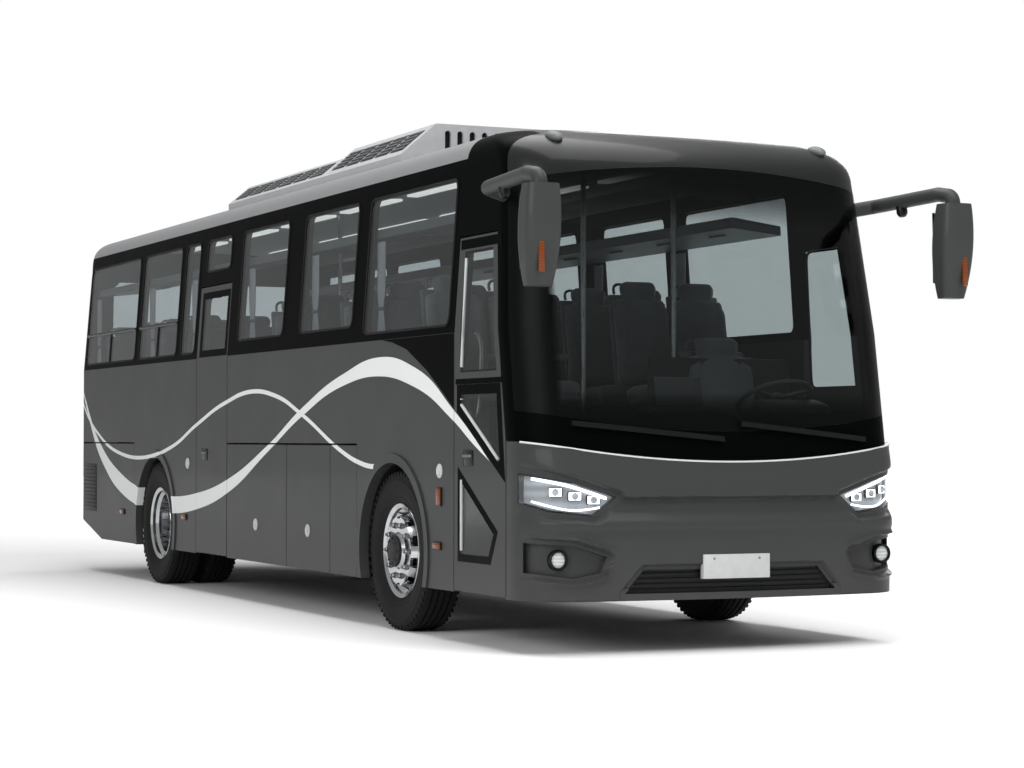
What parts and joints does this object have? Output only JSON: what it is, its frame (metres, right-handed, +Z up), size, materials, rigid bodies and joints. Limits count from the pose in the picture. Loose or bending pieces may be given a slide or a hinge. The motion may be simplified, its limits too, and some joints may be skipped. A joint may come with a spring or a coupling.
{
  "type": "city bus",
  "caption": "Single-deck city bus with swing-out doors, glazed hollow cabin, seats, luggage bays, steered front wheels, twin rear wheels and a roof air conditioner.",
  "frame": {"origin": "on the ground under the middle of the overall box", "axes": "+X forward, +Y left, +Z up"},
  "size_m": [10.7534, 2.937, 3.39],
  "materials": {
    "body_paint": "satin dark grey paint",
    "cove_paint": "light grey paint",
    "band_gloss": "gloss black panel",
    "clear_glass": "tinted safety glass",
    "lamp_lens": "clear polycarbonate lens",
    "tail_lens": "red lens",
    "housing": "light grey moulded housing",
    "tyre_rubber": "black rubber",
    "wheel_steel": "polished wheel",
    "chassis_steel": "black chassis paint",
    "forged": "forged and cast iron",
    "spring_rubber": "black rubber",
    "floor_cover": "grey vinyl floor",
    "seat_cloth": "grey cloth",
    "curtain_cloth": "pale cloth",
    "trim_plastic": "dark moulded plastic",
    "rail_steel": "steel tube"
  },
  "bodies": {
    "body": {"lower_panels": "body_paint", "front_fascia": "body_paint", "front_roof_cap": "body_paint", "rear_wall": "body_paint", "roof_panel": "body_paint", "mirrors": "body_paint", "roof_coves": "cove_paint", "a_pillars": "cove_paint", "right_window_band": "band_gloss", "left_window_band": "band_gloss", "wiper_panel": "band_gloss", "lower_grille": "band_gloss", "windscreen": "clear_glass", "windows": "clear_glass", "headlamps": "lamp_lens", "small_lamps": "lamp_lens", "rear_lamps": "tail_lens", "roof_air_conditioner": "housing", "chassis_frame": "chassis_steel", "luggage_bay": "chassis_steel", "stairs": "chassis_steel", "front_axle": "forged", "rear_axle": "forged", "engine": "forged", "suspension": "spring_rubber", "wheel_liners": "spring_rubber", "floor_deck": "floor_cover", "seats": "seat_cloth", "curtains": "curtain_cloth", "dashboard": "trim_plastic", "steering_wheel": "trim_plastic", "wipers": "trim_plastic", "luggage_racks": "trim_plastic", "handrails": "rail_steel"},
    "knuckle_left": {"knuckle_left": "forged"},
    "knuckle_right": {"knuckle_right": "forged"},
    "front_wheel_left": {"front_tyre_left": "tyre_rubber", "front_wheel_left": "wheel_steel"},
    "front_wheel_right": {"front_tyre_right": "tyre_rubber", "front_wheel_right": "wheel_steel"},
    "rear_wheel_left": {"rear_tyres_left": "tyre_rubber", "rear_wheels_left": "wheel_steel"},
    "rear_wheel_right": {"rear_tyres_right": "tyre_rubber", "rear_wheels_right": "wheel_steel"},
    "front_door_arms": {"front_door_arms": "rail_steel"},
    "front_door": {"front_door": "body_paint", "front_door_glass": "clear_glass"},
    "exit_door_arms": {"exit_door_arms": "rail_steel"},
    "exit_door": {"exit_door": "body_paint", "exit_door_glass": "clear_glass"},
    "luggage_door_right_rear": {"luggage_door_right_rear": "body_paint"},
    "luggage_door_right_front": {"luggage_door_right_front": "body_paint"},
    "service_door_right": {"service_door_right": "body_paint"},
    "engine_door_right": {"engine_door_right": "body_paint"},
    "luggage_door_left_rear": {"luggage_door_left_rear": "body_paint"},
    "luggage_door_left_front": {"luggage_door_left_front": "body_paint"},
    "engine_lid": {"engine_lid": "body_paint"}
  },
  "joints": [
    {"name": "steer_left", "type": "hinge", "parent": "body", "child": "knuckle_left", "pos_m": [2.81, 0.968, 0.512], "axis": [0, 0, 1], "range_deg": [-40, 40]},
    {"name": "steer_right", "type": "hinge", "parent": "body", "child": "knuckle_right", "pos_m": [2.81, -0.968, 0.512], "axis": [0, 0, 1], "range_deg": [-40, 40]},
    {"name": "front_wheel_left_spin", "type": "hinge", "parent": "knuckle_left", "child": "front_wheel_left", "pos_m": [2.81, 1.088, 0.512], "axis": [0, 1, 0], "continuous": true},
    {"name": "front_wheel_right_spin", "type": "hinge", "parent": "knuckle_right", "child": "front_wheel_right", "pos_m": [2.81, -1.088, 0.512], "axis": [0, 1, 0], "continuous": true},
    {"name": "rear_wheel_left_spin", "type": "hinge", "parent": "body", "child": "rear_wheel_left", "pos_m": [-2.67, 1.098, 0.512], "axis": [0, 1, 0], "continuous": true},
    {"name": "rear_wheel_right_spin", "type": "hinge", "parent": "body", "child": "rear_wheel_right", "pos_m": [-2.67, -1.098, 0.512], "axis": [0, 1, 0], "continuous": true},
    {"name": "front_door_swing", "type": "hinge", "parent": "body", "child": "front_door_arms", "pos_m": [4.25, -1.128, 1.4], "axis": [0, 0, -1], "range_deg": [-130, 0]},
    {"name": "front_door_follow", "type": "hinge", "parent": "front_door_arms", "child": "front_door", "pos_m": [3.88, -1.128, 1.4], "axis": [0, 0, -1], "range_deg": [0, 130]},
    {"name": "exit_door_swing", "type": "hinge", "parent": "body", "child": "exit_door_arms", "pos_m": [-0.84, -1.128, 1.4], "axis": [0, 0, -1], "range_deg": [-130, 0]},
    {"name": "exit_door_follow", "type": "hinge", "parent": "exit_door_arms", "child": "exit_door", "pos_m": [-1.32, -1.128, 1.4], "axis": [0, 0, -1], "range_deg": [0, 130]},
    {"name": "luggage_door_right_rear_hinge", "type": "hinge", "parent": "body", "child": "luggage_door_right_rear", "pos_m": [0.035, -1.241, 1.181], "axis": [-1, 0, 0], "range_deg": [0, 90]},
    {"name": "luggage_door_right_front_hinge", "type": "hinge", "parent": "body", "child": "luggage_door_right_front", "pos_m": [1.195, -1.241, 1.181], "axis": [-1, 0, 0], "range_deg": [0, 90]},
    {"name": "service_door_right_hinge", "type": "hinge", "parent": "body", "child": "service_door_right", "pos_m": [1.91, -1.241, 1.181], "axis": [-1, 0, 0], "range_deg": [0, 90]},
    {"name": "engine_door_right_hinge", "type": "hinge", "parent": "body", "child": "engine_door_right", "pos_m": [-4.215, -1.241, 1.181], "axis": [-1, 0, 0], "range_deg": [0, 90]},
    {"name": "luggage_door_left_rear_hinge", "type": "hinge", "parent": "body", "child": "luggage_door_left_rear", "pos_m": [0.035, 1.241, 1.181], "axis": [1, 0, 0], "range_deg": [0, 90]},
    {"name": "luggage_door_left_front_hinge", "type": "hinge", "parent": "body", "child": "luggage_door_left_front", "pos_m": [1.195, 1.241, 1.181], "axis": [1, 0, 0], "range_deg": [0, 90]},
    {"name": "engine_lid_hinge", "type": "hinge", "parent": "body", "child": "engine_lid", "pos_m": [-5.38, 0, 1.72], "axis": [0, 1, 0], "range_deg": [0, 75]}
  ],
  "couplings": [
    {"joint": "steer_right", "follows": "steer_left", "ratio": 1},
    {"joint": "front_door_follow", "follows": "front_door_swing", "ratio": -1},
    {"joint": "exit_door_follow", "follows": "exit_door_swing", "ratio": -1}
  ]
}
